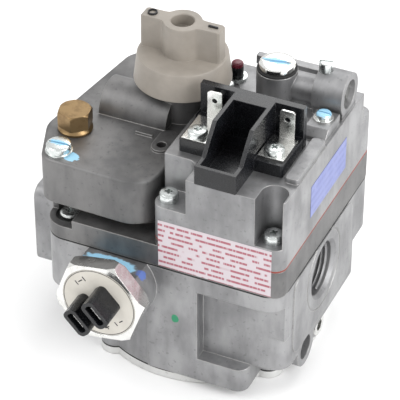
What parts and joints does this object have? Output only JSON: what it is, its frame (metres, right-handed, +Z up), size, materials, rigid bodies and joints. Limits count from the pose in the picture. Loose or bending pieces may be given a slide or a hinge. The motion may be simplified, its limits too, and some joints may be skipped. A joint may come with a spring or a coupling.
{
  "type": "combination gas control valve",
  "caption": "Combination gas control valve with a turn knob, a thermocouple-type power unit, a servo operator and threaded inlet and outlet.",
  "frame": {"origin": "centre of the bottom plate's lower face", "axes": "+X along the gas flow towards the outlet, +Y away from the power unit, +Z up"},
  "size_m": [0.1205, 0.1271, 0.1383],
  "materials": {
    "cast_body": "satin",
    "cast_cover": "satin",
    "plate_grey": "satin",
    "steel": "satin",
    "bright_nickel": "polished",
    "brass": "satin",
    "black_plastic": "matte",
    "beige_plastic": "satin",
    "red_plastic": "gloss",
    "cream_plastic": "matte",
    "gasket_black": "matte",
    "gasket_red": "matte",
    "label_white": "satin",
    "label_blue": "satin",
    "rubber": "matte"
  },
  "bodies": {
    "valve_body": {"body_gasket": "gasket_black", "bottom_plate": "plate_grey", "bottom_screws": "steel", "cock_retainer": "steel", "cock_spring": "steel", "cover_screws": "steel", "front_label": "label_white", "inlet_screen": "steel", "knob_spring": "steel", "magnet_coil": "cream_plastic", "magnet_core": "steel", "main_body": "cast_body", "main_diaphragm": "rubber", "main_valve_spring": "steel", "operator_gasket": "gasket_red", "operator_housing": "cast_body", "operator_screws": "steel", "pilot_adjuster_washer": "gasket_black", "plunger_spring": "steel", "power_barrel": "brass", "power_blades": "steel", "power_disc": "cream_plastic", "power_nut": "bright_nickel", "pressure_plug": "bright_nickel", "regulator_cap": "bright_nickel", "regulator_seal": "gasket_black", "regulator_spring": "steel", "reset_bush": "steel", "reset_spring": "steel", "rocker_brackets": "steel", "safety_spring": "steel", "seal_screw": "steel", "seal_screw_washer": "steel", "side_label": "label_blue", "solenoid_coil": "cream_plastic", "solenoid_frame": "steel", "terminal_block": "black_plastic", "terminal_block_screw": "steel", "terminal_left": "bright_nickel", "terminal_right": "bright_nickel", "terminal_screws": "brass", "terminal_shrouds": "black_plastic", "test_plug": "brass", "top_casting": "cast_cover", "vent_plug": "steel", "vent_stud": "steel"},
    "cock": {"knob_spindle": "steel", "cock_plug": "brass"},
    "knob": {"knob": "beige_plastic", "knob_marks": "black_plastic"},
    "reset": {"reset_button": "red_plastic", "reset_stem": "black_plastic"},
    "rocker": {"reset_rocker": "steel"},
    "safety": {"safety_valve": "steel", "safety_valve_seal": "rubber"},
    "main_valve": {"main_valve": "steel", "main_valve_seal": "rubber"},
    "plunger": {"solenoid_plunger": "steel"},
    "regulator_screw": {"regulator_adjuster": "black_plastic"},
    "pilot_screw": {"pilot_adjuster": "steel"}
  },
  "joints": [
    {"name": "cock_turn", "type": "hinge", "parent": "valve_body", "child": "cock", "pos_m": [-0.0155, 0.0071, 0.1119], "axis": [0, 0, 1], "range_deg": [0, 180]},
    {"name": "knob_push", "type": "slide", "parent": "cock", "child": "knob", "axis": [0, 0, -1], "range_m": [0, 0.0015], "stiffness_N_per_m": 1500, "springref_m": -0.002, "deforming": ["knob_spring"]},
    {"name": "reset_push", "type": "slide", "parent": "valve_body", "child": "reset", "axis": [0, 0, -1], "range_m": [0, 0.004], "stiffness_N_per_m": 600, "springref_m": -0.003, "deforming": ["reset_spring"]},
    {"name": "rocker_turn", "type": "hinge", "parent": "valve_body", "child": "rocker", "pos_m": [-0.00865, 0.0157, 0.0545], "axis": [-1, 0, 0], "range_deg": [0, 26.5]},
    {"name": "safety_lift", "type": "slide", "parent": "valve_body", "child": "safety", "axis": [0, -1, 0], "range_m": [0, 0.004], "deforming": ["safety_spring"]},
    {"name": "main_valve_lift", "type": "slide", "parent": "valve_body", "child": "main_valve", "axis": [0, 0, 1], "range_m": [0, 0.003], "stiffness_N_per_m": 500, "springref_m": -0.004, "deforming": ["main_valve_spring", "main_diaphragm"]},
    {"name": "plunger_pull", "type": "slide", "parent": "valve_body", "child": "plunger", "axis": [0, 0, 1], "range_m": [0, 0.0015], "stiffness_N_per_m": 200, "springref_m": -0.003, "deforming": ["plunger_spring"]},
    {"name": "regulator_turn", "type": "hinge", "parent": "valve_body", "child": "regulator_screw", "pos_m": [0.021, 0.0181, 0.106], "axis": [0, 0, 1], "continuous": true},
    {"name": "pilot_screw_turn", "type": "hinge", "parent": "valve_body", "child": "pilot_screw", "pos_m": [0.0464, 0.0056, 0.1098], "axis": [0, 0, 1], "continuous": true}
  ],
  "couplings": [
    {"joint": "rocker_turn", "follows": "reset_push", "rad_per_m": 115},
    {"joint": "safety_lift", "follows": "reset_push", "ratio": 1}
  ]
}
